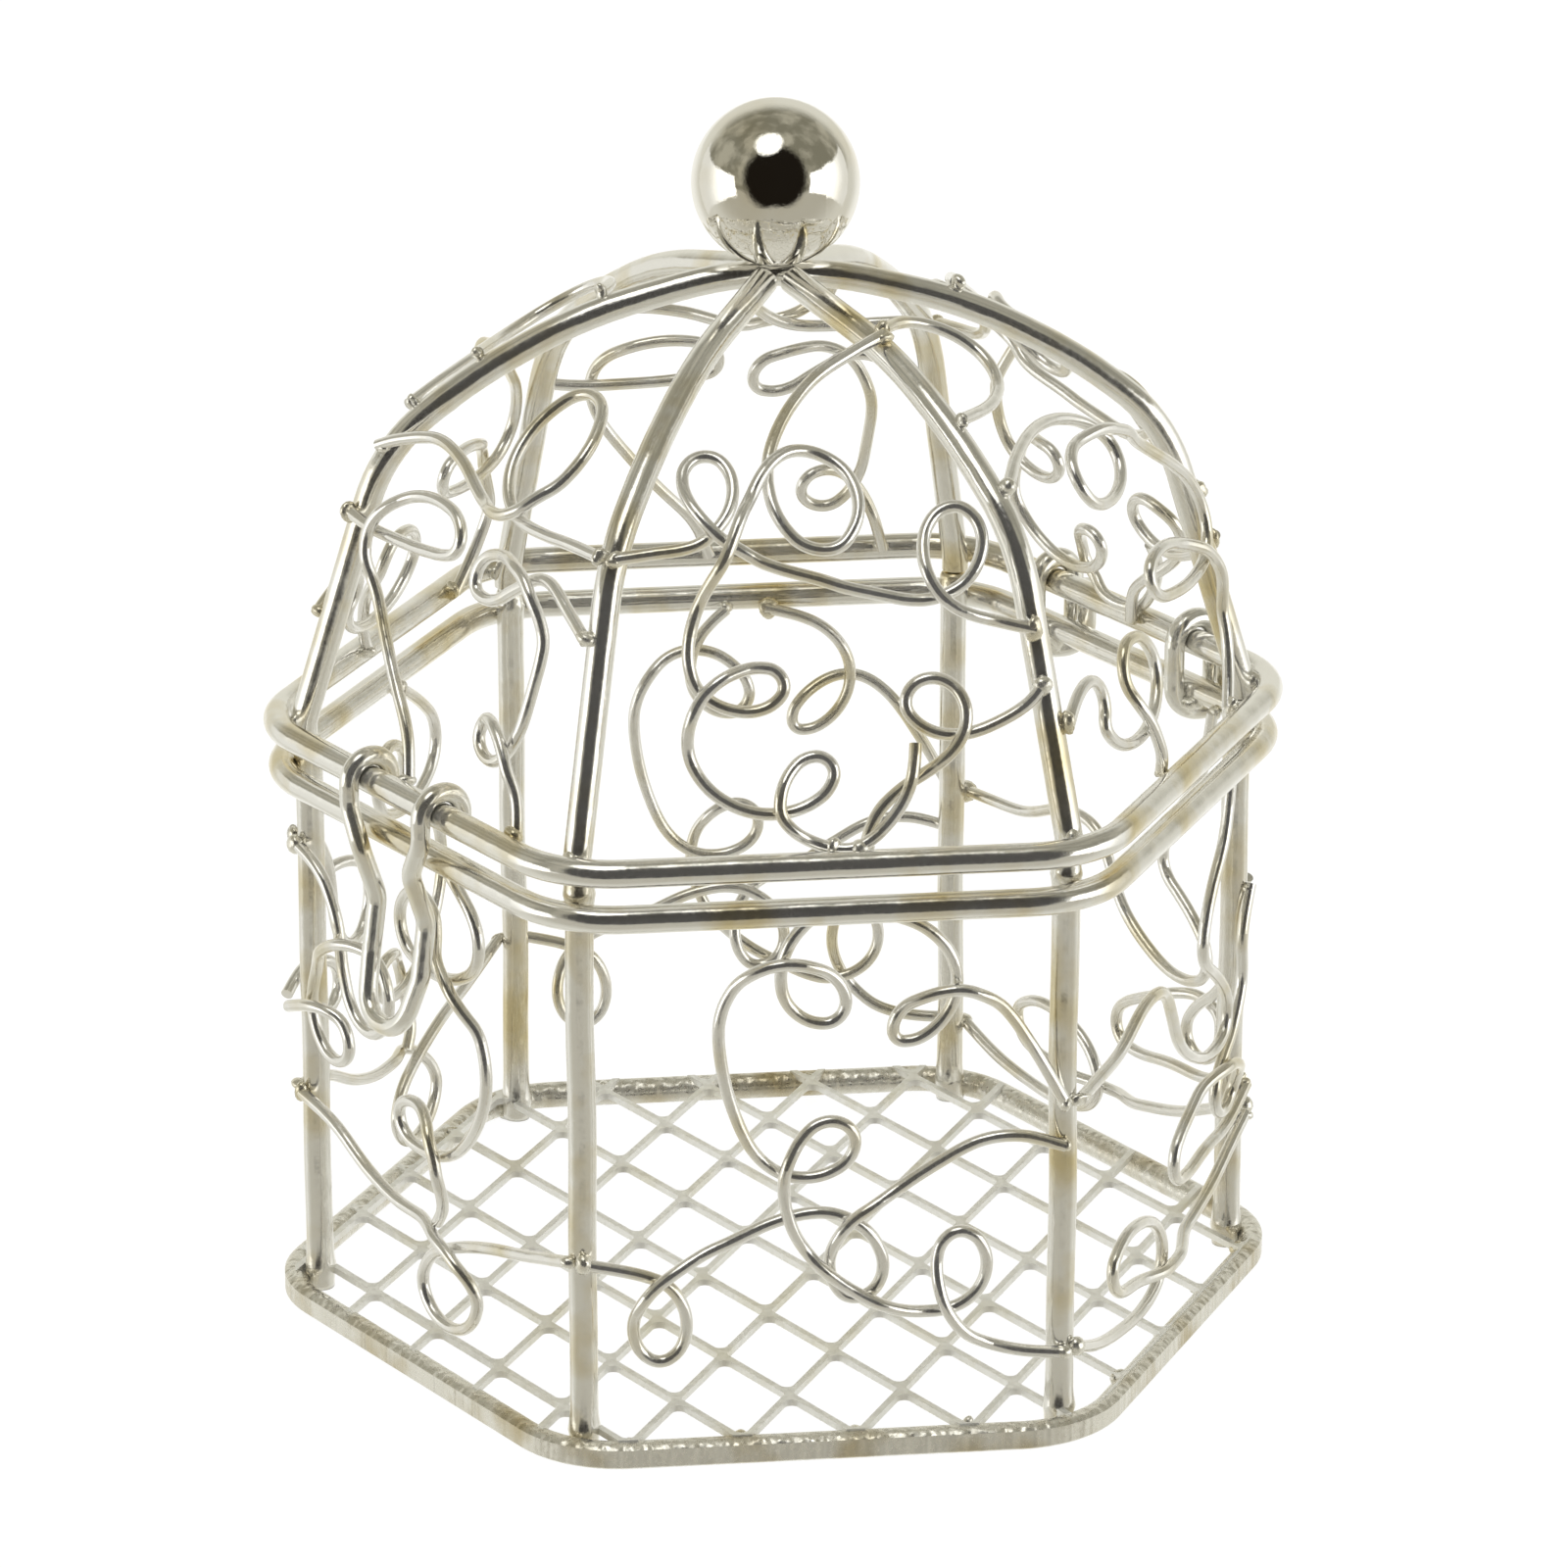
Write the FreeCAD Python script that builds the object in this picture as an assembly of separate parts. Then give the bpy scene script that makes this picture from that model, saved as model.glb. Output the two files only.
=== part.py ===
# Hexagonal wire cage box with a hinged dome lid, in soldered and silver-plated wire.
# Millimetres, +Z up. The origin is on the ground, under the middle of the box.
# The hinge is at the back (+Y) and the catch at the front (-Y).
import FreeCAD
import Part
import math
import os

V = FreeCAD.Vector

# ---------------------------------------------------------------- sizes

# The stock that the box is made of.
frame_wire_diameter = 2.0
scroll_wire_diameter = 0.9
hinge_wire_diameter = 1.5
catch_wire_diameter = 1.4
solder_bite = 0.1            # how far two soldered wires sink into each other

# The cage.
post_circle_radius = 34.0    # from the middle of the box to each post's axis
body_height = 41.7           # the ground to the rim's centre line
ring_bend_radius = 8.0       # the centre line of a ring, at each corner
foot_grind = 0.15            # taken off the underside of the base ring
side_grind = 0.25            # taken off its outer side
post_foot_height = 0.3
post_stub = 1.4              # how far each post stands above the rim's top

# The floor, a piece of expanded mesh. A diamond is two triangles with equal sides.
mesh_strand_length = 8.1     # from one knuckle to the next
mesh_strand_width = 0.5
mesh_thickness = 0.5
mesh_knuckle_radius = 0.55   # inside each sharp corner of a diamond
mesh_shift_x = -2.9
mesh_shift_y = -0.6
mesh_sink = 0.35             # into the top of the base ring

# The lid.
lid_ring_overhang = 0.3      # how far its corners reach out past the rim's
lid_rest_gap = 0.1           # between a rib's foot and the post below it
shoulder_inset = 6.1         # where a rib first bends in, from above its foot
shoulder_rise = 20.4         # above the lid ring
brow_inset = 12.5
brow_rise = 25.5
crown_inset = 20.4
crown_rise = 29.9
dome_rise = 33.5             # where the ribs' runs would meet, before they are bent
rib_bend_radius = 40.0       # or less, where the runs are short
rib_end_radius = 2.0         # where the short ribs stop, beside the long one
finial_diameter = 12.0
finial_sink = 0.3

# The hinge.
hinge_spacing = 16.6         # between the two loops
hinge_clearance = 0.08       # round the lid ring's back wire
hinge_end_overlap = 3.4      # where a loop's two ends lie side by side

# The catch, a springy loop of wire whose two ends hook over the lid ring's front wire.
catch_width = 9.0            # between its legs' centre lines, at the lid ring
catch_waist_width = 6.2      # and from the waist down
catch_drop = 16.8            # the bottom of the loop below the same line
catch_rim_clearance = 0.3
catch_ring_clearance = 0.05
catch_undercut = 1.0         # how far it reaches in under the rim
catch_flare = 1.8            # how far its bottom stands out
catch_bend_radius = 2.5

# The scrolls are drawn on a panel of this size, and are fitted to the real one.
drawn_width = 34.0
drawn_height = 40.7
drawn_shoulder = 21.6
drawn_dome = 48.5
scroll_step = 1.5            # between the bends of a curve
scroll_crossing_gap = 0.08   # between two wires that cross
scroll_flat = 1.3            # each side of a crossing, where the upper wire is level
scroll_ramp = 3.2            # over which it rises and falls
scroll_end_below_rim = 0.5
scroll_end_above_ring = 0.0

# ---------------------------------------------------------------- shared places

frame_wire_radius = frame_wire_diameter / 2
scroll_wire_radius = scroll_wire_diameter / 2
hinge_wire_radius = hinge_wire_diameter / 2
catch_wire_radius = catch_wire_diameter / 2
half_turn_of_side = math.radians(30.0)
faintest_bend = math.radians(1.5)

ring_corner_reach = post_circle_radius + frame_wire_diameter - solder_bite
lid_ring_corner_reach = ring_corner_reach + lid_ring_overhang
base_ring_height = frame_wire_radius - foot_grind
rim_height = body_height
post_top = rim_height + frame_wire_radius + post_stub
lid_ring_height = post_top + lid_rest_gap + frame_wire_radius
rib_foot_radius = lid_ring_corner_reach - frame_wire_diameter + solder_bite
shoulder_radius = rib_foot_radius - shoulder_inset
scroll_stand_off = frame_wire_radius + scroll_wire_radius - solder_bite
crossing_rise = scroll_wire_diameter + scroll_crossing_gap


def ring_apothem(corner_reach):
    """How far a ring's straight side is from the middle, at its centre line."""
    slack = ring_bend_radius * (1 / math.cos(half_turn_of_side) - 1)
    return (corner_reach + slack) * math.cos(half_turn_of_side)


cage_ring_apothem = ring_apothem(ring_corner_reach)
lid_ring_apothem = ring_apothem(lid_ring_corner_reach)
rim_outer_face = cage_ring_apothem + frame_wire_radius


def around(radius, azimuth, height=0.0):
    """A point at an azimuth in degrees: 0 is the front, and 90 is +X."""
    angle = math.radians(azimuth)
    return V(radius * math.sin(angle), -radius * math.cos(angle), height)


# ---------------------------------------------------------------- bent wire

def without_faint_bends(points, closed):
    """The same points, less those where the wire would turn too little to see."""
    kept = list(points)
    i = 0 if closed else 1
    while i < (len(kept) if closed else len(kept) - 1):
        into = kept[i] - kept[i - 1]
        out = kept[(i + 1) % len(kept)] - kept[i]
        if into.getAngle(out) < faintest_bend:
            kept.pop(i)
        else:
            i += 1
    return kept


def bent_path(points, bend_radius, closed=False):
    """Straight runs through the points, with a tangent arc at each bend."""
    points = without_faint_bends(points, closed)
    count = len(points)
    edges = []
    start = None
    last = None
    for i in range(0 if closed else 1, count if closed else count - 1):
        before = points[i - 1]
        here = points[i]
        after = points[(i + 1) % count]
        into = here - before
        out = after - here
        shorter = min(into.Length, out.Length)
        into.normalize()
        out.normalize()
        turn = into.getAngle(out)
        reach = min(bend_radius * math.tan(turn / 2), shorter / 2)
        radius = reach / math.tan(turn / 2)
        towards = out - into
        towards.normalize()
        first = here - into * reach
        middle = here + towards * (radius / math.cos(turn / 2) - radius)
        final = here + out * reach
        if start is None:
            start = first
            if not closed:
                edges.append(Part.LineSegment(points[0], first).toShape())
        elif (first - last).Length > 1e-4:
            edges.append(Part.LineSegment(last, first).toShape())
        else:
            first = last
        edges.append(Part.Arc(first, middle, final).toShape())
        last = final
    finish = start if closed else points[-1]
    if (finish - last).Length > 1e-4:
        edges.append(Part.LineSegment(last, finish).toShape())
    return Part.Wire(edges)


def wire_along(path, diameter, seam=None):
    """Round wire swept along a path, as one closed solid. Its seam can face one way."""
    edge = path.OrderedEdges[0]
    start = edge.valueAt(edge.FirstParameter)
    direction = edge.tangentAt(edge.FirstParameter)
    if edge.Orientation == "Reversed":
        start = edge.valueAt(edge.LastParameter)
        direction = edge.tangentAt(edge.LastParameter) * -1
    circle = Part.makeCircle(diameter / 2)
    if seam is None:
        turned = FreeCAD.Rotation(V(0, 0, 1), direction)
    else:
        square = seam - direction * seam.dot(direction)
        turned = FreeCAD.Rotation(square, direction.cross(square), direction, "ZXY")
    circle.Placement = FreeCAD.Placement(start, turned)
    return path.makePipeShell([Part.Wire([circle])], True, False)


def hexagon(corner_reach, height):
    """The corners of a ring whose rounded corners reach that far."""
    sharp = ring_apothem(corner_reach) / math.cos(half_turn_of_side)
    return [around(sharp, 30 + 60 * i, height) for i in range(6)]


def ring(corner_reach, height):
    path = bent_path(hexagon(corner_reach, height), ring_bend_radius, True)
    return wire_along(path, frame_wire_diameter)


# ---------------------------------------------------------------- cage

def make_base_ring():
    """The wire ring that the box stands on, ground flat outside and below."""
    body = ring(ring_corner_reach, base_ring_height)
    ground_reach = ring_corner_reach + frame_wire_radius - side_grind
    sharp = (cage_ring_apothem + frame_wire_radius - side_grind) / math.cos(half_turn_of_side)
    bend = ring_bend_radius + frame_wire_radius - side_grind
    corners = [around(sharp, 30 + 60 * i, 0) for i in range(6)]
    outline = bent_path(corners, bend, True)
    envelope = Part.Face(outline).extrude(V(0, 0, ground_reach))
    return body.common(envelope)


def make_floor_mesh():
    """Expanded mesh cut to a hexagon, with its edge on the base ring."""
    top = base_ring_height + frame_wire_radius - mesh_sink + mesh_thickness
    bottom = top - mesh_thickness
    edge_reach = cage_ring_apothem / math.cos(half_turn_of_side)
    corners = [around(edge_reach, 30 + 60 * i, bottom) for i in range(6)]
    outline = bent_path(corners, ring_bend_radius, True)
    sheet = Part.Face(outline).extrude(V(0, 0, mesh_thickness))
    along = V(mesh_strand_length, 0, 0)
    across = V(-mesh_strand_length / 2, mesh_strand_length * math.sqrt(3) / 2, 0)
    inset = mesh_strand_width / 2 / math.sin(math.radians(60))
    shift = V(mesh_shift_x, mesh_shift_y, bottom - mesh_thickness)
    rows = int(2 * edge_reach / mesh_strand_length) + 2
    holes = []
    for i in range(-rows, rows + 1):
        for j in range(-rows, rows + 1):
            at = shift + along * i + across * j
            middle = at + (along + across) * 0.5
            if math.hypot(middle.x, middle.y) > edge_reach + mesh_strand_length:
                continue
            share = 1 - 2 * inset / mesh_strand_length
            diamond = [at, at + along, at + along + across, at + across]
            diamond = [middle + (p - middle) * share for p in diamond]
            face = Part.Face(bent_path(diamond, mesh_knuckle_radius, True))
            holes.append(face.extrude(V(0, 0, 3 * mesh_thickness)))
    mesh = sheet.cut(Part.makeCompound(holes))
    return max(mesh.Solids, key=lambda solid: solid.Volume)


def make_post(azimuth):
    foot = around(post_circle_radius, azimuth, post_foot_height)
    return Part.makeCylinder(frame_wire_radius, post_top - post_foot_height, foot)


def make_hinge_loop(middle):
    """A loop of wire soldered to the rim, in which the lid ring's wire turns."""
    half = frame_wire_radius + hinge_clearance + hinge_wire_radius
    lower = rim_height + hinge_clearance + solder_bite
    outer = lid_ring_apothem + half
    inner = lid_ring_apothem - half
    top = lid_ring_height + half
    bottom = lower - half
    side = hinge_wire_diameter + scroll_crossing_gap
    meet = (lid_ring_height + lower) / 2 + hinge_end_overlap / 2
    points = [V(middle, outer, meet - hinge_end_overlap), V(middle, outer, top),
              V(middle, inner, top), V(middle, inner, bottom),
              V(middle + side, outer, bottom), V(middle + side, outer, meet)]
    return wire_along(bent_path(points, half), hinge_wire_diameter)


# ---------------------------------------------------------------- lid frame

def rib_profile(steps=6):
    """The centre line of a rib as (radius, height), from its foot to the top."""
    corners = [V(rib_foot_radius, 0, lid_ring_height),
               V(shoulder_radius, 0, lid_ring_height + shoulder_rise),
               V(rib_foot_radius - brow_inset, 0, lid_ring_height + brow_rise),
               V(rib_foot_radius - crown_inset, 0, lid_ring_height + crown_rise),
               V(0, 0, lid_ring_height + dome_rise)]
    path = bent_path(corners, rib_bend_radius)
    line = []
    for edge in path.OrderedEdges:
        points = edge.discretize(steps)
        line.extend(points if not line else points[1:])
    return corners, [(p.x, p.z) for p in line]


def turned(corners, azimuth):
    return [around(p.x, azimuth, p.z) for p in corners]


def rib_foot(azimuth):
    return around(rib_foot_radius, azimuth, lid_ring_height - frame_wire_radius)


def long_rib_path(azimuth):
    """From corner to corner over the top."""
    corners = rib_profile()[0]
    left = [rib_foot(azimuth)] + turned(corners, azimuth)
    right = turned(corners[:-1], azimuth + 180)[::-1] + [rib_foot(azimuth + 180)]
    return bent_path(left + right, rib_bend_radius)


def dome_height(radius):
    """How high the long rib's centre line is, at a distance from the middle."""
    line = long_rib_path(0).discretize(801)
    return min(line, key=lambda p: abs(math.hypot(p.x, p.y) - radius)).z


def make_short_rib(azimuth):
    """A wire from a corner to the side of the long rib, near its top."""
    corners = rib_profile()[0]
    end = V(rib_end_radius, 0, dome_height(rib_end_radius))
    points = [rib_foot(azimuth)] + turned(corners[:-1] + [end], azimuth)
    return wire_along(bent_path(points, rib_bend_radius), frame_wire_diameter)


def make_finial():
    bottom = dome_height(0) + frame_wire_radius - finial_sink
    return Part.makeSphere(finial_diameter / 2, V(0, 0, bottom + finial_diameter / 2))


def make_catch():
    """A loop of springy wire: two ends hooked over, a waist under the rim, a flared tip."""
    hook = frame_wire_radius + catch_ring_clearance + catch_wire_radius
    at_ring = lid_ring_apothem + hook
    inside = lid_ring_apothem - hook
    at_rim = rim_outer_face + catch_rim_clearance + catch_wire_radius
    waist = rim_outer_face - catch_undercut + catch_wire_radius
    wide = catch_width / 2
    narrow = catch_waist_width / 2
    tip = lid_ring_height - catch_drop
    under = rim_height - 2.4 * frame_wire_diameter
    side = [(wide, inside, lid_ring_height - hook), (wide, inside, lid_ring_height + hook),
            (wide, at_ring, lid_ring_height + hook), (wide, at_ring, lid_ring_height - hook),
            (narrow, max(at_ring, at_rim), rim_height - frame_wire_radius),
            (narrow, waist, under),
            (narrow, waist + 0.35 * catch_flare, (under + tip) / 2),
            (0.7 * narrow, waist + catch_flare, tip)]
    left = [V(-half, -out, up) for half, out, up in side]
    right = [V(half, -out, up) for half, out, up in side]
    return wire_along(bent_path(left + right[::-1], catch_bend_radius), catch_wire_diameter)


# ---------------------------------------------------------------- scrolls

# Each curve is drawn on a flat panel as (across, up), seen from outside the box.
# A point beyond a post, a rib or a ring stops on it.
body_drawings = {
    "loops": [
        [(-20, 14.2), (-13.6, 13.4), (-11.0, 12.3), (-9.8, 9.9), (-10.2, 7.3), (-11.8, 6.3),
         (-13.3, 7.5), (-13.6, 10.0), (-12.5, 12.2), (-10.3, 13.9), (-7.0, 15.3), (-3.2, 17.0),
         (0.2, 17.4), (2.9, 16.0), (4.2, 13.4), (3.5, 11.1), (1.5, 10.7), (0.3, 12.7),
         (0.5, 15.2), (1.9, 17.2), (4.7, 18.7), (8.0, 20.8), (11.0, 22.4), (14.0, 22.6), (20, 21.6)],
        [(-0.3, 45), (-2.2, 38.4), (-3.1, 36.2), (-2.9, 33.6), (-1.2, 31.9), (0.8, 31.8),
         (1.6, 33.4), (0.6, 35.3), (-1.4, 36.5), (-3.9, 36.6), (-6.0, 35.3), (-7.4, 32.6),
         (-7.3, 28.9), (-6.4, 25.2), (-4.9, 22.0), (-2.8, 20.3), (-0.2, 20.2), (1.9, 21.5),
         (2.1, 23.5), (0.2, 24.5), (-1.8, 23.2), (-3.0, 20.8), (-2.8, 17.8), (-1.6, 15.0),
         (0.9, 12.4), (3.9, 10.5), (7.0, 9.4), (9.7, 9.8), (11.4, 11.7), (11.3, 14.3),
         (9.8, 15.7), (8.2, 14.7), (7.9, 12.3), (8.6, 9.7), (10.6, 7.3), (13.6, 6.1), (20, 5.7)],
        [(2.6, 45), (6.6, 38.9), (8.7, 36.8), (9.3, 34.3), (8.4, 31.8), (6.5, 30.2),
         (4.8, 30.2), (4.8, 32.0), (6.5, 33.5), (9.3, 34.3), (12.0, 33.0), (14.2, 30.0),
         (15.8, 27.2), (20, 24.9)]],
    "waves": [
        [(-20, 5.7), (-13.0, 4.2), (-9.0, 3.4), (-4.5, 3.1), (-1.0, 4.0), (0.0, 6.0),
         (-1.3, 8.6), (-4.5, 10.2), (-8.2, 10.3), (-10.4, 8.8), (-9.2, 6.6), (-6.0, 5.9),
         (-2.4, 5.4), (2.0, 5.6), (6.0, 6.3), (10.0, 7.3), (13.5, 8.8), (20, 10.2)],
        [(-20, 24.9), (-13.5, 25.1), (-9.5, 25.4), (-4.5, 27.2), (-0.8, 26.8), (0.9, 24.4),
         (2.4, 21.6), (5.4, 19.3), (9.0, 18.0), (12.2, 18.8), (12.5, 21.2), (10.0, 24.0),
         (7.2, 26.2), (7.4, 28.6), (8.9, 31.4), (11.2, 34.3), (12.6, 45)],
        [(20, 28.6), (15.4, 25.2), (15.6, 21.6), (13.8, 18.3), (11.3, 16.3), (10.1, 13.9),
         (11.8, 12.2), (13.9, 13.4), (13.2, 15.8), (10.0, 16.7), (5.6, 15.2), (2.0, 13.0),
         (2.2, 10.8), (4.8, 10.3), (8.4, 10.8), (12.6, 10.9), (20, 12.6)]],
    "hooks": [
        [(20, 14.2), (12.0, 12.8), (7.0, 11.6), (2.6, 10.0), (-0.3, 8.3), (-1.4, 5.9),
         (0.1, 3.9), (2.9, 3.6), (5.3, 5.3), (5.7, 7.9), (3.6, 10.0), (0.0, 11.0),
         (-4.5, 11.2), (-8.5, 12.4), (-12.5, 14.4), (-20, 15.4)],
        [(1.0, 45), (4.0, 38.2), (6.4, 35.8), (6.3, 33.0), (3.6, 31.1), (0.2, 30.7),
         (-2.9, 31.8), (-3.4, 34.5), (-1.4, 36.5), (0.9, 35.5), (1.9, 33.0), (4.4, 30.4),
         (6.8, 27.2), (7.2, 23.6), (5.6, 20.0), (2.8, 17.3), (-0.6, 16.4), (-3.6, 17.0),
         (-4.0, 19.0), (-1.8, 19.9), (0.7, 18.8), (2.1, 16.0), (1.9, 13.4), (0.7, 11.3)],
        [(-20, 35.0), (-13.8, 33.8), (-11.6, 30.6), (-11.0, 27.0), (-9.6, 23.9), (-7.0, 23.2),
         (-5.1, 25.4), (-5.6, 28.4), (-8.2, 29.8), (-11.4, 29.0), (-14.2, 26.4), (-15.2, 22.6),
         (-13.2, 19.6), (-10.6, 20.0), (-10.6, 22.4), (-13.0, 23.6), (-20, 22.4)]],
}

lid_drawings = {
    "loops": [
        [(-20, 21.0), (-11.5, 21.3), (-8.0, 21.8), (-5.9, 23.6), (-5.4, 26.2), (-6.8, 28.0),
         (-8.6, 27.2), (-8.8, 24.8), (-7.2, 22.4), (-4.0, 20.6), (-0.5, 19.4), (3.5, 18.3),
         (7.5, 17.6), (10.4, 19.0), (11.5, 21.5), (10.4, 23.6), (8.4, 23.4), (7.2, 21.2),
         (7.5, 18.9), (9.4, 17.0), (12.6, 15.9), (20, 15.3)],
        [(20, 11.6), (14.4, 10.2), (11.8, 8.7), (9.4, 8.0), (7.1, 8.5), (5.6, 10.2),
         (6.3, 11.9), (8.3, 12.2), (9.8, 10.5), (9.6, 8.2), (8.0, 6.2), (5.6, 4.6),
         (3.6, 2.8), (2.6, -5)],
        [(20, 37.5), (3.9, 36.0), (0.8, 33.6), (-1.7, 30.2), (-3.0, 26.6), (-2.6, 23.4),
         (-0.8, 21.4), (1.6, 21.2), (3.1, 23.4), (2.5, 26.2), (0.2, 27.8), (-2.4, 27.0),
         (-4.4, 24.4), (-6.4, 20.8), (-8.3, 17.8), (-9.1, 14.8), (-8.6, 12.0), (-6.6, 10.5),
         (-4.1, 10.3), (-2.4, 11.6), (-3.0, 13.2), (-5.4, 13.3), (-7.7, 12.2), (-9.1, 10.0),
         (-9.3, 7.4), (-8.0, 4.9), (-5.4, 3.2), (-2.4, 3.0), (0.3, 4.4), (0.8, 6.4),
         (-0.8, 7.1), (-2.7, 5.5), (-3.2, 2.9), (-1.2, 1.0), (1.8, 0.3), (4.2, 2.0),
         (5.8, 4.6), (6.3, 7.6)]],
    "waves": [
        [(-20, 8.0), (-13.4, 9.4), (-10.4, 9.7), (-9.0, 7.8), (-10.2, 5.9), (-8.4, 4.0),
         (-4.8, 3.3), (-1.4, 4.4), (0.4, 7.2), (-1.2, 9.8), (-4.4, 9.9), (-5.4, 7.0), (-4.4, 3.6),
         (-3.4, -5)],
        [(-20, 24.6), (-8.0, 25.8), (-4.0, 26.4), (-0.5, 26.0), (2.4, 24.6), (3.8, 22.3),
         (2.3, 20.4), (-0.4, 19.7), (-3.2, 20.5), (-3.7, 22.6), (-1.5, 24.0), (2.2, 23.7),
         (6.0, 22.2), (9.6, 19.8), (13.0, 17.0), (14.2, 14.0), (13.2, 11.6), (10.5, 10.6),
         (6.5, 10.6), (2.9, 11.6), (2.7, 13.5), (5.2, 14.3), (8.8, 13.6), (11.8, 11.6),
         (13.2, 8.6), (13.4, 5.6), (12.4, 2.8), (10.6, -5)],
        [(-20, 38.0), (-3.4, 37.6), (-1.2, 35.4), (-0.8, 32.6), (-2.4, 30.4), (-5.6, 29.4),
         (-20, 29.8)]],
    "hooks": [
        [(20, 21.0), (11.0, 21.0), (7.0, 20.8), (3.6, 21.2), (1.0, 23.4), (0.2, 27.0),
         (1.7, 30.4), (4.4, 30.2), (6.6, 27.1), (6.2, 23.4), (3.9, 20.9), (0.6, 20.9),
         (-3.4, 22.6), (-8.0, 23.6), (-20, 21.6)],
        [(-20, 16.6), (-12.0, 16.2), (-8.5, 16.2), (-4.6, 16.4), (-1.3, 17.2), (-1.4, 19.0),
         (-4.6, 20.0), (-8.4, 19.2), (-10.6, 16.8), (-10.6, 14.0), (-8.6, 10.6), (-5.8, 6.8),
         (-2.8, 3.2), (-1.6, -5)],
        [(20, 15.4), (12.4, 16.8), (9.0, 18.3), (6.2, 16.8), (3.5, 15.0), (1.2, 15.6),
         (1.8, 17.8), (5.2, 18.6), (8.6, 17.4), (10.3, 14.2), (10.1, 10.4), (9.5, 6.8),
         (7.5, 4.2), (5.2, 5.0), (5.7, 7.2), (8.3, 6.8), (10.6, 3.6), (11.6, -5)]],
}

# Each side's azimuth, its drawing for the body and for the lid, and which are turned over.
sides = {
    "front": (0, "hooks", False, "hooks", False),
    "front_right": (60, "loops", False, "loops", False),
    "back_right": (120, "waves", False, "waves", False),
    "back": (180, "waves", True, "loops", True),
    "back_left": (240, "loops", True, "hooks", True),
    "front_left": (300, "hooks", True, "waves", True),
}


def smooth(points, step):
    """Points evenly spaced along a smooth curve through the drawn ones."""
    line = []
    count = len(points)
    for i in range(count - 1):
        p0 = points[max(i - 1, 0)]
        p1 = points[i]
        p2 = points[i + 1]
        p3 = points[min(i + 2, count - 1)]
        knots = [0.0]
        for a, b in ((p0, p1), (p1, p2), (p2, p3)):
            knots.append(knots[-1] + max(math.dist(a, b), 0.3) ** 0.5)
        for j in range(12):
            t = knots[1] + (knots[2] - knots[1]) * j / 12
            line.append(between(p0, p1, p2, p3, knots, t))
    line.append(tuple(points[-1]))
    lengths = [0.0]
    for a, b in zip(line, line[1:]):
        lengths.append(lengths[-1] + math.dist(a, b))
    pieces = max(3, round(lengths[-1] / step))
    even = []
    at = 0
    for i in range(pieces + 1):
        target = lengths[-1] * i / pieces
        while at < len(line) - 2 and lengths[at + 1] < target:
            at += 1
        share = (target - lengths[at]) / (lengths[at + 1] - lengths[at])
        even.append(tuple(a + (b - a) * share for a, b in zip(line[at], line[at + 1])))
    return even


def between(p0, p1, p2, p3, knots, t):
    """One point of a centripetal curve through four others."""
    def mix(a, b, start, end):
        share = (t - start) / (end - start)
        return tuple(x + (y - x) * share for x, y in zip(a, b))
    k0, k1, k2, k3 = knots
    a1 = mix(p0, p1, k0, k1)
    a2 = mix(p1, p2, k1, k2)
    a3 = mix(p2, p3, k2, k3)
    return mix(mix(a1, a2, k0, k2), mix(a2, a3, k1, k3), k1, k2)


def crossing(a, b, c, d):
    """Where along a-b and along c-d the two runs cross, or None."""
    rx, ry = b[0] - a[0], b[1] - a[1]
    sx, sy = d[0] - c[0], d[1] - c[1]
    cross = rx * sy - ry * sx
    if abs(cross) < 1e-9:
        return None
    t = ((c[0] - a[0]) * sy - (c[1] - a[1]) * sx) / cross
    u = ((c[0] - a[0]) * ry - (c[1] - a[1]) * rx) / cross
    return (t, u) if -0.02 <= t <= 1.02 and -0.02 <= u <= 1.02 else None


def lifts(curves):
    """How far out each point stands, so that a later run passes over an earlier one."""
    raised = []
    for curve in curves:
        spacing = math.dist(curve[0], curve[1])
        out = [0.0] * len(curve)
        for i in range(len(curve) - 1):
            needed = 0.0
            for j in range(0, i - 2):
                hit = crossing(curve[i], curve[i + 1], curve[j], curve[j + 1])
                if hit:
                    needed = max(needed, max(out[j], out[j + 1]) + crossing_rise)
                    place = i + hit[0]
            for other, height in zip(curves, raised):
                for j in range(len(other) - 1):
                    hit = crossing(curve[i], curve[i + 1], other[j], other[j + 1])
                    if hit:
                        needed = max(needed, max(height[j], height[j + 1]) + crossing_rise)
                        place = i + hit[0]
            if needed:
                for k in range(len(curve)):
                    away = max(0.0, abs(k - place) * spacing - scroll_flat)
                    share = math.cos(min(away / scroll_ramp, 1.0) * math.pi / 2) ** 2
                    out[k] = max(out[k], needed * share)
        raised.append(out)
    return raised


def body_point(azimuth, across, up, out):
    middle = around(post_circle_radius * math.cos(half_turn_of_side) + scroll_stand_off + out,
                    azimuth, up)
    angle = math.radians(azimuth)
    return middle + V(math.cos(angle), math.sin(angle), 0) * across


def lid_panel():
    """The middle line of a lid panel: length so far, distance out, height, half width."""
    rows = []
    length = 0.0
    last = None
    for radius, height in rib_profile()[1]:
        here = (radius * math.cos(half_turn_of_side), height)
        if last:
            length += math.dist(here, last)
        rows.append((length, here[0], here[1], radius * math.sin(half_turn_of_side)))
        last = here
    return rows


def lid_place(length):
    """The panel's row at a length, with the direction that faces out."""
    rows = lid_panel_rows
    i = 0
    while i < len(rows) - 2 and rows[i + 1][0] < length:
        i += 1
    a, b = rows[i], rows[i + 1]
    share = min(max((length - a[0]) / (b[0] - a[0]), 0.0), 1.0)
    row = [x + (y - x) * share for x, y in zip(a, b)]
    before, after = rows[max(i - 1, 0)], rows[min(i + 2, len(rows) - 1)]
    run = math.hypot(after[1] - before[1], after[2] - before[2])
    facing = ((after[2] - before[2]) / run, (before[1] - after[1]) / run)
    return row, facing


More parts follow.
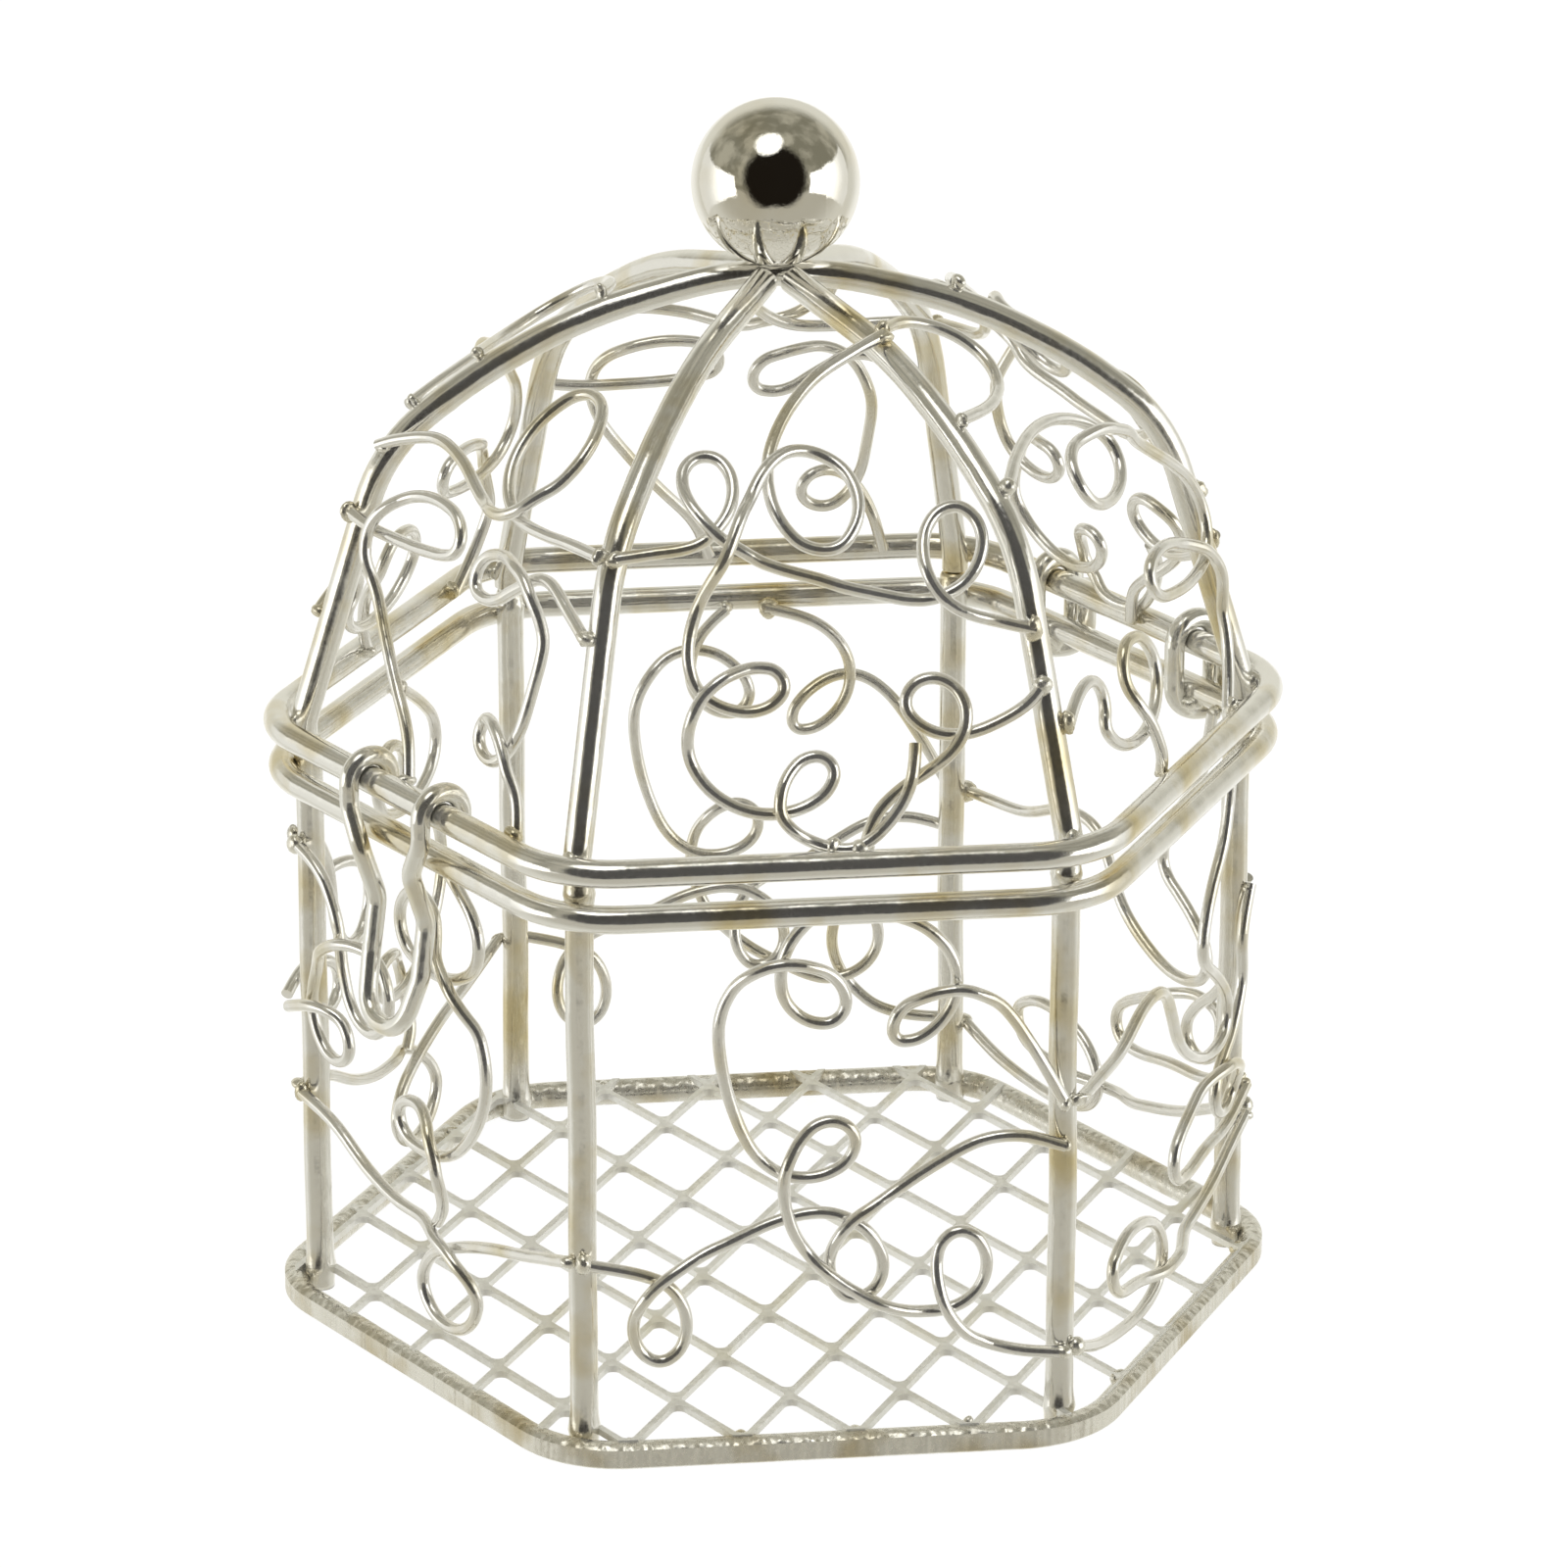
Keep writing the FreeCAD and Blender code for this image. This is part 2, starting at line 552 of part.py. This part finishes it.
def lid_point(azimuth, across, length, out):
    row, facing = lid_place(length)
    stand = scroll_stand_off + out
    middle = around(row[1] + facing[0] * stand, azimuth, row[2] + facing[1] * stand)
    angle = math.radians(azimuth)
    return middle + V(math.cos(angle), math.sin(angle), 0) * across


def fit_body(curve, turned_over):
    """A drawn curve on the real body panel, stopped on its posts and rim."""
    wide = post_circle_radius / drawn_width
    high = (rim_height - base_ring_height) / drawn_height
    half = post_circle_radius / 2
    highest = rim_height - scroll_end_below_rim
    side = -1 if turned_over else 1
    placed = []
    for across, up in curve:
        x = min(max(side * across * wide, -half), half)
        placed.append((x, min(base_ring_height + up * high, highest)))
    return placed


def fit_lid(curve, turned_over):
    """A drawn curve on the real lid panel, stopped on its ribs and ring."""
    rows = lid_panel_rows
    bend = math.dist((rows[0][1], rows[0][2]),
                     (shoulder_radius * math.cos(half_turn_of_side),
                      lid_ring_height + shoulder_rise))
    wide = rib_foot_radius / drawn_width
    side = -1 if turned_over else 1
    placed = []
    for across, up in curve:
        if up <= drawn_shoulder:
            length = max(up * bend / drawn_shoulder, scroll_end_above_ring)
        else:
            above = (rows[-1][0] - bend) / (drawn_dome - drawn_shoulder)
            length = bend + (up - drawn_shoulder) * above
        half = lid_place(length)[0][3]
        placed.append((min(max(side * across * wide, -half), half), length))
    return placed


def make_scrolls(drawing, turned_over, fit, place, azimuth):
    curves = [smooth(fit(curve, turned_over), scroll_step) for curve in drawing]
    inwards = around(-1, azimuth)
    wires = []
    for curve, out in zip(curves, lifts(curves)):
        points = [place(azimuth, x, y, w) for (x, y), w in zip(curve, out)]
        path = bent_path(points, post_circle_radius * 100)
        wires.append(wire_along(path, scroll_wire_diameter, inwards))
    return wires


# ---------------------------------------------------------------- the whole box

lid_panel_rows = lid_panel()
corner_names = {"front_right": 30, "right": 90, "back_right": 150,
                "back_left": 210, "left": 270, "front_left": 330}
long_rib_azimuth = 150

nodes = {
    "base_ring": make_base_ring(),
    "floor_mesh": make_floor_mesh(),
    "body_rim": ring(ring_corner_reach, rim_height),
    "hinge_loop_left": make_hinge_loop(-hinge_spacing / 2),
    "hinge_loop_right": make_hinge_loop(hinge_spacing / 2),
    "lid_ring": ring(lid_ring_corner_reach, lid_ring_height),
    "long_rib": wire_along(long_rib_path(long_rib_azimuth), frame_wire_diameter),
    "finial_ball": make_finial(),
    "catch": make_catch(),
}
for name, azimuth in corner_names.items():
    nodes["post_" + name] = make_post(azimuth)
    if (azimuth - long_rib_azimuth) % 180:
        nodes["rib_" + name] = make_short_rib(azimuth)
for name, (azimuth, body_curves, body_turned, lid_curves, lid_turned) in sides.items():
    body_wires = make_scrolls(body_drawings[body_curves], body_turned,
                              fit_body, body_point, azimuth)
    lid_wires = make_scrolls(lid_drawings[lid_curves], lid_turned,
                             fit_lid, lid_point, azimuth)
    for number, wire in enumerate(body_wires, 1):
        nodes[f"body_scroll_{name}_{number}"] = wire
    for number, wire in enumerate(lid_wires, 1):
        nodes[f"lid_scroll_{name}_{number}"] = wire

os.makedirs("parts", exist_ok=True)
for name, shape in nodes.items():
    shape.exportStep(f"parts/{name}.step")
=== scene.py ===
import bpy
import numpy as np
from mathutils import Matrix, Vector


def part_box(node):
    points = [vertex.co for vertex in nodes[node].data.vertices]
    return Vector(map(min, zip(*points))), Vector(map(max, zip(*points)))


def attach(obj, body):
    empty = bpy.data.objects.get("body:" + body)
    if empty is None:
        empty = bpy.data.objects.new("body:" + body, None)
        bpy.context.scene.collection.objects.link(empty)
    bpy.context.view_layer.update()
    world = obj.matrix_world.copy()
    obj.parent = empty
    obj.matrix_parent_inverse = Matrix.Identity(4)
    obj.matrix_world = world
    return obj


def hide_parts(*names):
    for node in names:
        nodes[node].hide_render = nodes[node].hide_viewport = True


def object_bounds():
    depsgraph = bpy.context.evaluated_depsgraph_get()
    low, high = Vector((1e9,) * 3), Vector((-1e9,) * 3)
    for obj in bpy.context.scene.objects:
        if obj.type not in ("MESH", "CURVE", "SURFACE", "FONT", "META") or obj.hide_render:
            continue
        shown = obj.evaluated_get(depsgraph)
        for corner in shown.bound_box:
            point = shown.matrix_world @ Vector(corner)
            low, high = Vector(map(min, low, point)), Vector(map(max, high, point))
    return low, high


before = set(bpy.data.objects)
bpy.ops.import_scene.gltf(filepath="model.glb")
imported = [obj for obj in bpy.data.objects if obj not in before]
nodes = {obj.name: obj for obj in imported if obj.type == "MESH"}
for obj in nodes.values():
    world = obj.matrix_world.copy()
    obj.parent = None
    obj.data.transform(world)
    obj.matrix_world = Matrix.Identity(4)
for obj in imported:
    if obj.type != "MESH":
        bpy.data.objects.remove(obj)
cad_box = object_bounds()


# ---------------------------------------------------------------- viewpoint
# The box stands on a table and is looked at from its front right, a little above.
# A long lens from half a metre away keeps its uprights nearly parallel.
def seen_from(azimuth, elevation):
    """Unit vectors to the viewer, to the right and up, for a place round the box."""
    a, e = np.radians(azimuth), np.radians(elevation)
    back = np.array([np.sin(a) * np.cos(e), -np.cos(a) * np.cos(e), np.sin(e)])
    right = np.array([np.cos(a), np.sin(a), 0.0])
    return back, right, np.cross(back, right)


back, right, up = seen_from(53.5, 21.2)
away, aside, raised = 0.586, 0.0006, 0.0361   # metres from the middle of the foot, along those three
lens = bpy.data.cameras.new("long_lens")
lens.sensor_width = 36.0
lens.lens = 180.0
lens.clip_start = 0.01
camera = bpy.data.objects.new("long_lens", lens)
bpy.context.collection.objects.link(camera)
place = np.eye(4)
place[:3, 0], place[:3, 1], place[:3, 2] = right, up, back
place[:3, 3] = back * away + right * aside + up * raised
camera.matrix_world = place.T.tolist()
bpy.context.scene.camera = camera


# ---------------------------------------------------------------- studio
# A white table that runs on into a white tent, with large soft lamps over it.
# The tent is open and dark only where the viewer stands, which bright wire shows.
def linear(code):
    """A colour's linear red, green, blue and alpha from its sRGB hex value."""
    srgb = np.array([int(code[i:i + 2], 16) for i in (1, 3, 5)]) / 255
    line = np.where(srgb <= 0.04045, srgb / 12.92, ((srgb + 0.055) / 1.055) ** 2.4)
    return (*line.tolist(), 1.0)


def node(tree, kind, settings=None, **links):
    """Adds one shader node: its properties, then its inputs, by value or from a socket."""
    made = tree.nodes.new(kind)
    for key, value in (settings or {}).items():
        setattr(made, key, value)
    for key, value in links.items():
        socket = made.inputs[int(key[1:]) if key[0] == "i" and key[1:].isdigit()
                             else key.replace("_", " ")]
        if isinstance(value, bpy.types.NodeSocket):
            tree.links.new(value, socket)
        else:
            socket.default_value = value
    return made


world = bpy.data.worlds.new("studio")
bpy.context.scene.world = world
bpy.context.scene.view_settings.view_transform = "Standard"
world.use_nodes = True
sky = world.node_tree
sky.nodes.clear()
ray = node(sky, "ShaderNodeTexCoord").outputs["Generated"]
level = node(sky, "ShaderNodeSeparateXYZ", Vector=ray).outputs["Z"]
dot = {"operation": "DOT_PRODUCT"}
towards = {name: node(sky, "ShaderNodeVectorMath", dot, i0=ray, i1=tuple(axis.tolist())).outputs["Value"]
           for name, axis in (("viewer", back), ("right", right), ("up", up),
                              ("over_lamp", -0.14 * right + 0.76 * up + 0.64 * back))}
turn = node(sky, "ShaderNodeMath", {"operation": "ARCTAN2"},
            i0=towards["right"], i1=towards["viewer"]).outputs[0]
other_turn = node(sky, "ShaderNodeMath", {"operation": "MULTIPLY"}, i0=turn, i1=-1.0).outputs[0]
blotches = node(sky, "ShaderNodeTexNoise", Vector=ray, Scale=2.6, Detail=2.0).outputs["Fac"]
smooth = {"interpolation_type": "SMOOTHSTEP"}

# Each share goes smoothly from 0 to 1 as its value goes from the first number to the second.
shares = {name: node(sky, "ShaderNodeMapRange", smooth, Value=value, From_Min=low, From_Max=high).outputs[0]
          for name, value, low, high in (
              ("pale_patches", blotches, 0.4, 0.65), ("far_wall", towards["viewer"], -0.25, -0.7),
              ("floor_behind", towards["viewer"], 0.35, -0.35), ("far_floor", towards["viewer"], -0.6, -0.95),
              ("below", level, 0.06, -0.06), ("opening", towards["viewer"], 0.64, 0.79),
              ("above_table", towards["up"], -0.68, -0.58), ("lamp_edge", towards["viewer"], 0.45, -0.35),
              ("overhead", towards["over_lamp"], 0.95, 0.985))}


def softbox(angle, inner, outer, low, high, slope):
    """A lamp's share of the light: 1 between two angles and two heights, its top edge sloping."""
    run = node(sky, "ShaderNodeMath", {"operation": "SUBTRACT"}, i0=angle, i1=inner).outputs[0]
    drop = node(sky, "ShaderNodeMath", {"operation": "MULTIPLY"}, i0=run, i1=slope).outputs[0]
    top = node(sky, "ShaderNodeMath", {"operation": "SUBTRACT"}, i0=towards["up"], i1=drop).outputs[0]
    share = None
    for value, start, end in ((angle, inner - 0.03, inner + 0.03), (angle, outer + 0.03, outer - 0.03),
                              (towards["up"], low - 0.03, low + 0.03), (top, high + 0.03, high - 0.03)):
        edge = node(sky, "ShaderNodeMapRange", smooth, Value=value, From_Min=start, From_Max=end).outputs[0]
        share = edge if share is None else node(sky, "ShaderNodeMath", {"operation": "MULTIPLY"},
                                                i0=share, i1=edge).outputs[0]
    return share


# The lamps stand 49 to 117 degrees to the viewer's right and 57 to 128 degrees to the left.
right_lamp = softbox(turn, 0.86, 2.04, -0.29, 0.15, 0.30)
left_lamp = softbox(other_turn, 1.0, 2.23, -0.33, 0.06, 0.34)
lamps = node(sky, "ShaderNodeMath", {"operation": "MAXIMUM"}, i0=right_lamp, i1=left_lamp).outputs[0]
opening = node(sky, "ShaderNodeMath", {"operation": "MULTIPLY"},
               i0=shares["opening"], i1=shares["above_table"]).outputs[0]
mixing = {"data_type": "RGBA"}
walls = linear("#7F7C6C")
for above, share in ((linear("#ADA998"), "pale_patches"), (linear("#DEDCD0"), "far_wall")):
    walls = node(sky, "ShaderNodeMix", mixing, Factor=shares[share], i6=walls, i7=above).outputs[2]
ground = linear("#B4B0A2")
for above, share in ((linear("#D6D4C9"), "floor_behind"), (linear("#FAF9F2"), "far_floor")):
    ground = node(sky, "ShaderNodeMix", mixing, Factor=shares[share], i6=ground, i7=above).outputs[2]
lamp_face = node(sky, "ShaderNodeMix", mixing, Factor=shares["lamp_edge"], i6=(1.9, 1.88, 1.8, 1.0),
                 i7=(0.8, 0.79, 0.73, 1.0)).outputs[2]
light = walls
for above, share in ((ground, shares["below"]), (linear("#1C1813"), opening), (lamp_face, lamps),
                     ((2.0, 1.98, 1.86, 1.0), shares["overhead"])):
    light = node(sky, "ShaderNodeMix", mixing, Factor=share, i6=light, i7=above).outputs[2]
studio = node(sky, "ShaderNodeBackground", Color=light)
plain = node(sky, "ShaderNodeBackground", Color=linear("#FFFFFF"))
direct = node(sky, "ShaderNodeLightPath").outputs["Is Camera Ray"]
shown = node(sky, "ShaderNodeMixShader", i0=direct, i1=studio.outputs[0], i2=plain.outputs[0])
node(sky, "ShaderNodeOutputWorld", Surface=shown.outputs[0])

table = bpy.data.meshes.new("table")
table.from_pydata([(-6, -6, 0), (6, -6, 0), (6, 6, 0), (-6, 6, 0)], [], [(0, 1, 2, 3)])
table_top = bpy.data.objects.new("table", table)
bpy.context.collection.objects.link(table_top)
table_top.visible_glossy = False
paper = bpy.data.materials.new("white_paper")
paper.use_nodes = True
paper_face = paper.node_tree.nodes["Principled BSDF"]
paper_face.inputs["Base Color"].default_value = linear("#5A5A58")
paper_face.inputs["Roughness"].default_value = 0.9
paper_face.inputs["Emission Color"].default_value = linear("#FFFFFF")
paper_face.inputs["Emission Strength"].default_value = 0.95
table.materials.append(paper)

lamp = bpy.data.lights.new("lamp_over", "AREA")
lamp.size = 0.8
lamp.energy = 6.0
holder = bpy.data.objects.new("lamp_over", lamp)
bpy.context.collection.objects.link(holder)
holder.visible_glossy = False
holder.location = (0.0, 0.0, 1.0)


# ---------------------------------------------------------------- frame wire
# Posts, rims and ribs are 2 mm round steel wire, cut, bent by hand and soldered.
# Bright silver plate over copper: a white metal, a little straw where heat has touched it.
def silver_plate(name, colour, tint, roughness, haze=0.14, ripple_mm=3.0, ripple_depth=0.10,
                 stretch=(1, 1, 1)):
    """Electroplated silver: colour by clouds 6 mm across, over soft ripples and fine grain.

    Haze is the share of light that unbuffed plating scatters instead of mirroring.
    """
    made = bpy.data.materials.new(name)
    made.use_nodes = True
    tree = made.node_tree
    face = tree.nodes["Principled BSDF"]
    spot = node(tree, "ShaderNodeTexCoord").outputs["Object"]
    clouds = node(tree, "ShaderNodeTexNoise", Vector=spot, Scale=1000 / 6.0, Detail=3.0)
    tinted = node(tree, "ShaderNodeMapRange", Value=clouds.outputs["Fac"],
                  From_Min=0.48, From_Max=0.72, To_Min=0.0, To_Max=1.0)
    mixed = node(tree, "ShaderNodeMix", {"data_type": "RGBA"},
                 Factor=tinted.outputs["Result"], i6=linear(colour), i7=linear(tint))
    tree.links.new(mixed.outputs[2], face.inputs["Base Color"])
    drawn = node(tree, "ShaderNodeMapping", Vector=spot, Scale=stretch).outputs["Vector"]
    ripple = node(tree, "ShaderNodeTexNoise", Vector=drawn, Scale=1000 / ripple_mm, Detail=1.0)
    grain = node(tree, "ShaderNodeTexNoise", Vector=spot, Scale=1000 / 0.35, Detail=2.0)
    rough = node(tree, "ShaderNodeMapRange", Value=grain.outputs["Fac"], From_Min=0.3, From_Max=0.75,
                 To_Min=roughness * 0.7, To_Max=roughness * 1.6)
    tree.links.new(rough.outputs["Result"], face.inputs["Roughness"])
    waves = node(tree, "ShaderNodeBump", Height=ripple.outputs["Fac"], Strength=1.0,
                 Distance=ripple_depth / 1000)
    pits = node(tree, "ShaderNodeBump", Height=grain.outputs["Fac"], Strength=1.0,
                Distance=0.006 / 1000, Normal=waves.outputs["Normal"])
    tree.links.new(pits.outputs["Normal"], face.inputs["Normal"])
    face.inputs["Metallic"].default_value = 1.0 - haze
    return made


def coat(material, *names):
    """Gives CAD nodes a finish in place of their plain one."""
    for name in names:
        mesh = nodes[name].data
        mesh.materials.clear()
        mesh.materials.append(material)


corners = ("front_right", "right", "back_right", "back_left", "left", "front_left")
posts = ["post_" + corner for corner in corners]
ribs = ["long_rib"] + ["rib_" + corner for corner in ("front_right", "right", "back_left", "left")]
frame_plate = silver_plate("bright_silver_plate_on_steel", "#F8F7F3", "#E2D5AE", 0.14, haze=0.10)
coat(frame_plate, "body_rim", "lid_ring", *ribs)


def hang(name, points, faces, material, body, slot, *stands_for):
    """Makes one smooth piece from its points and faces, and hangs it on a body."""
    mesh = bpy.data.meshes.new(name)
    mesh.from_pydata(points.reshape(-1, 3).tolist(), [], faces)
    mesh.polygons.foreach_set("use_smooth", [True] * len(faces))
    mesh.materials.append(material)
    piece = bpy.data.objects.new(name, mesh)
    bpy.context.collection.objects.link(piece)
    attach(piece, body)
    if stands_for:
        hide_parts(*stands_for)
    return piece


def tube_faces(rings, around):
    """Quads between rings of points, with a fan to a middle point at each end."""
    faces = []
    for ring in range(rings - 1):
        start = ring * around
        faces += [(start + i, start + (i + 1) % around, start + around + (i + 1) % around,
                   start + around + i) for i in range(around)]
    bottom, top = rings * around, rings * around + 1
    last = (rings - 1) * around
    faces += [(bottom, (i + 1) % around, i) for i in range(around)]
    faces += [(top, last + i, last + (i + 1) % around) for i in range(around)]
    return faces


def post_surface(low, high, rim_top, chance, around=40, rings=120):
    """A round bar: its radius swells where solder climbs it, and its middle wanders a little."""
    radius = (high[0] - low[0]) / 2
    middle = (low + high) / 2
    z = np.linspace(low[2], high[2] - 0.0003, rings)
    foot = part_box("base_ring")[1][2]
    climb = 0.00022 * np.exp(-np.abs(z - foot) / 0.0007) + 0.00016 * np.exp(-np.abs(z - rim_top) / 0.0006)
    wander = np.sin(z[:, None] * 2 * np.pi / np.array([0.031, 0.019]) + chance.uniform(0, 6.28, (1, 2)))
    bow = np.sin(np.pi * (z - z[0]) / (z[-1] - z[0]))
    z = np.append(z, [high[2] - 0.0001, high[2]])
    radii = np.append(radius + climb, [radius * 0.93, radius * 0.7])
    shift = np.vstack([wander * bow[:, None] * 0.00006, np.zeros((2, 2))])
    turn = np.arange(around) * 2 * np.pi / around
    lumps = 1 + 0.012 * np.sin(3 * turn[None] + z[:, None] * 2500) * (radii[:, None] > radius * 1.02)
    x = middle[0] + shift[:, :1] + radii[:, None] * lumps * np.cos(turn)[None]
    y = middle[1] + shift[:, 1:] + radii[:, None] * lumps * np.sin(turn)[None]
    skin = np.stack([x, y, np.broadcast_to(z[:, None], x.shape)], -1).reshape(-1, 3)
    ends = [[middle[0], middle[1], low[2]], [middle[0], middle[1], high[2]]]
    return np.vstack([skin, ends]), tube_faces(rings + 2, around)


hand = np.random.default_rng(7)
for corner in corners:
    low, high = (np.array(c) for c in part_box("post_" + corner))
    points, faces = post_surface(low, high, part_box("body_rim")[1][2], hand)
    hang("upright_" + corner, points, faces, frame_plate, "cage", "frame_plating", "post_" + corner)


# ---------------------------------------------------------------- base ring
# The box stands on a ring of the same wire, ground flat outside on a coarse wheel.
# The plating keeps the upright scratches, a little under a millimetre apart.
ground_plate = silver_plate("silver_plate_over_grinding_marks", "#F1EFE7", "#C8BA95", 0.28,
                            ripple_mm=0.8, ripple_depth=0.26, stretch=(1, 1, 0.10))
coat(ground_plate, "base_ring")


# ---------------------------------------------------------------- floor
# Expanded steel mesh, slit and pulled open into diamonds, soldered on top of the ring.
# It has had less polish than the wire, so its plating is paler and almost matt.
mesh_plate = silver_plate("satin_silver_plate_on_mesh", "#FBFBF8", "#F0EDDF", 0.42, haze=0.30,
                          ripple_mm=1.2, ripple_depth=0.12)
coat(mesh_plate, "floor_mesh")


# ---------------------------------------------------------------- hinge loops and catch
# Two loops of 1.5 mm wire hold the lid's back wire. The catch is one bent loop of
# 1.4 mm spring wire that hangs on the lid's front wire and snaps in under the rim.
spring_plate = silver_plate("bright_silver_plate_on_spring_wire", "#F6F5F0", "#E1D5B0", 0.15,
                            ripple_mm=2.4, ripple_depth=0.10)
coat(spring_plate, "catch", "hinge_loop_left", "hinge_loop_right")


# ---------------------------------------------------------------- scrolls
# Each panel is filled with three curling lengths of 0.9 mm wire, shaped by hand.
# They lie on the posts and ribs, and pass over each other where they cross.
scroll_plate = silver_plate("bright_silver_plate_on_thin_wire", "#F9F8F5", "#E6DDC0", 0.16, haze=0.13,
                            ripple_mm=2.2, ripple_depth=0.08)
scrolls = [name for name in nodes if "scroll" in name]
coat(scroll_plate, *scrolls)


# ---------------------------------------------------------------- bead
# A hollow brass bead, 12 mm across, soldered where the ribs meet.
# It was buffed before plating, so it shows the studio like a mirror with a few soft dents.
ball_plate = silver_plate("mirror_silver_plate_on_bead", "#F3F1EB", "#EAE4D4", 0.05, haze=0.0,
                          ripple_mm=4.0, ripple_depth=0.10)
coat(ball_plate, "finial_ball")


# ---------------------------------------------------------------- solder
# Soft solder has run in wherever one wire lies on another, and set as small lumps.
# It was plated with the rest, and is duller and yellower than the drawn wire.
from mathutils.bvhtree import BVHTree


def triangles(name):
    """A node's corners as an array of triangles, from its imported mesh."""
    mesh = nodes[name].data
    mesh.calc_loop_triangles()
    points = np.empty(len(mesh.vertices) * 3, np.float32)
    mesh.vertices.foreach_get("co", points)
    order = np.empty(len(mesh.loop_triangles) * 3, np.int32)
    mesh.loop_triangles.foreach_get("vertices", order)
    return points.reshape(-1, 3), order.reshape(-1, 3)


shapes = {name: triangles(name) for name in nodes}
trees = {name: BVHTree.FromPolygons(points.tolist(), order.tolist())
         for name, (points, order) in shapes.items()}


def joints_between(frame_wire, other, spread, reach=0.00012, lift=0.0003):
    """Where a wire lies on a frame wire: the middle of each patch that almost touches it."""
    low, high = (np.array(c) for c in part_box(frame_wire))
    points = np.unique(shapes[other][0].round(6), axis=0)
    close = points[((points > low - reach) & (points < high + reach)).all(axis=1)]
    touching = []
    for point in close.tolist():
        place, facing, _, _ = trees[frame_wire].find_nearest(point, reach)
        if place is not None:
            touching.append([*place, *facing])
    found = []
    touching = np.array(touching).reshape(-1, 6)
    while len(touching):
        near = np.linalg.norm(touching[:, :3] - touching[0, :3], axis=1) < spread
        middle = touching[near].mean(axis=0)
        near |= np.linalg.norm(touching[:, :3] - middle[:3], axis=1) < spread
        middle = touching[near].mean(axis=0)
        found.append(middle[:3] + middle[3:] / max(np.linalg.norm(middle[3:]), 0.3) * lift)
        touching = touching[~near]
    return found


def solder_lumps(name, body, places, around=14, rings=9):
    """Lumpy balls: radius times 1 plus three slow waves over the sphere, each its own.

    Each is squeezed or drawn out along the three axes, and ground flat where the box stands.
    """
    spots = np.array([place for place, _ in places])
    sizes = np.array([size for _, size in places])
    chance = np.random.default_rng(len(places))
    polar = np.linspace(0, np.pi, rings)[1:-1]
    turns = np.arange(around) * 2 * np.pi / around
    theta, phi = np.meshgrid(polar, turns, indexing="ij")
    ball = np.stack([np.sin(theta) * np.cos(phi), np.sin(theta) * np.sin(phi), np.cos(theta)], -1)
    ball = np.vstack([[0, 0, 1], ball.reshape(-1, 3), [0, 0, -1]])
    waves = chance.normal(size=(len(places), 3, 3)) * 1.6
    phases = chance.uniform(0, 6.28, (len(places), 3, 1))
    swell = 1 + 0.13 * np.sin(waves @ ball.T + phases).sum(axis=1)
    flat = chance.uniform(0.62, 1.3, (len(places), 1, 3))
    points = spots[:, None] + ball[None] * flat * (sizes[:, None] * swell)[..., None]
    points[..., 2] = np.maximum(points[..., 2], cad_box[0][2])
    last = len(ball) - 1
    faces = [(0, 1 + i, 1 + (i + 1) % around) for i in range(around)]
    for ring in range(rings - 3):
        start = 1 + ring * around
        faces += [(start + i, start + around + i, start + around + (i + 1) % around,
                   start + (i + 1) % around) for i in range(around)]
    start = 1 + (rings - 3) * around
    faces += [(last, start + (i + 1) % around, start + i) for i in range(around)]
    every = [tuple(k * len(ball) + i for i in face) for k in range(len(places)) for face in faces]
    return hang(name, points, every, solder_plate, body, "frame_plating")


solder_plate = silver_plate("silver_plate_over_solder", "#F3F1E9", "#DBCEA5", 0.24,
                            ripple_mm=0.7, ripple_depth=0.10)
frame_lump, scroll_lump, mesh_lump = 0.00095, 0.00062, 0.00055   # radii of the solder, in metres
hinge_lump, bead_lump = 0.0009, 0.0013
cage_frame = ["base_ring", "body_rim"] + posts
lid_frame = ["lid_ring"] + ribs
for body, wires, side in (("cage", cage_frame, "body_scroll"), ("lid", lid_frame, "lid_scroll")):
    lumps = []
    for i, wire in enumerate(wires):
        for crossed in wires[i + 1:]:
            lumps += [(place, frame_lump) for place in joints_between(wire, crossed, 0.002)]
        for scroll in scrolls:
            if scroll.startswith(side):
                lumps += [(place, scroll_lump) for place in joints_between(wire, scroll, 0.0013)]
    if body == "cage":
        lumps += [(place, mesh_lump)
                  for place in joints_between("base_ring", "floor_mesh", 0.0011, lift=-0.0001)]
        for loop in ("hinge_loop_left", "hinge_loop_right"):
            lumps += [(place, hinge_lump) for place in joints_between("body_rim", loop, 0.002)]
    else:
        lumps += [(place, bead_lump) for place in joints_between("long_rib", "finial_ball", 0.003)]
    solder_lumps("solder_on_" + body, body, lumps)
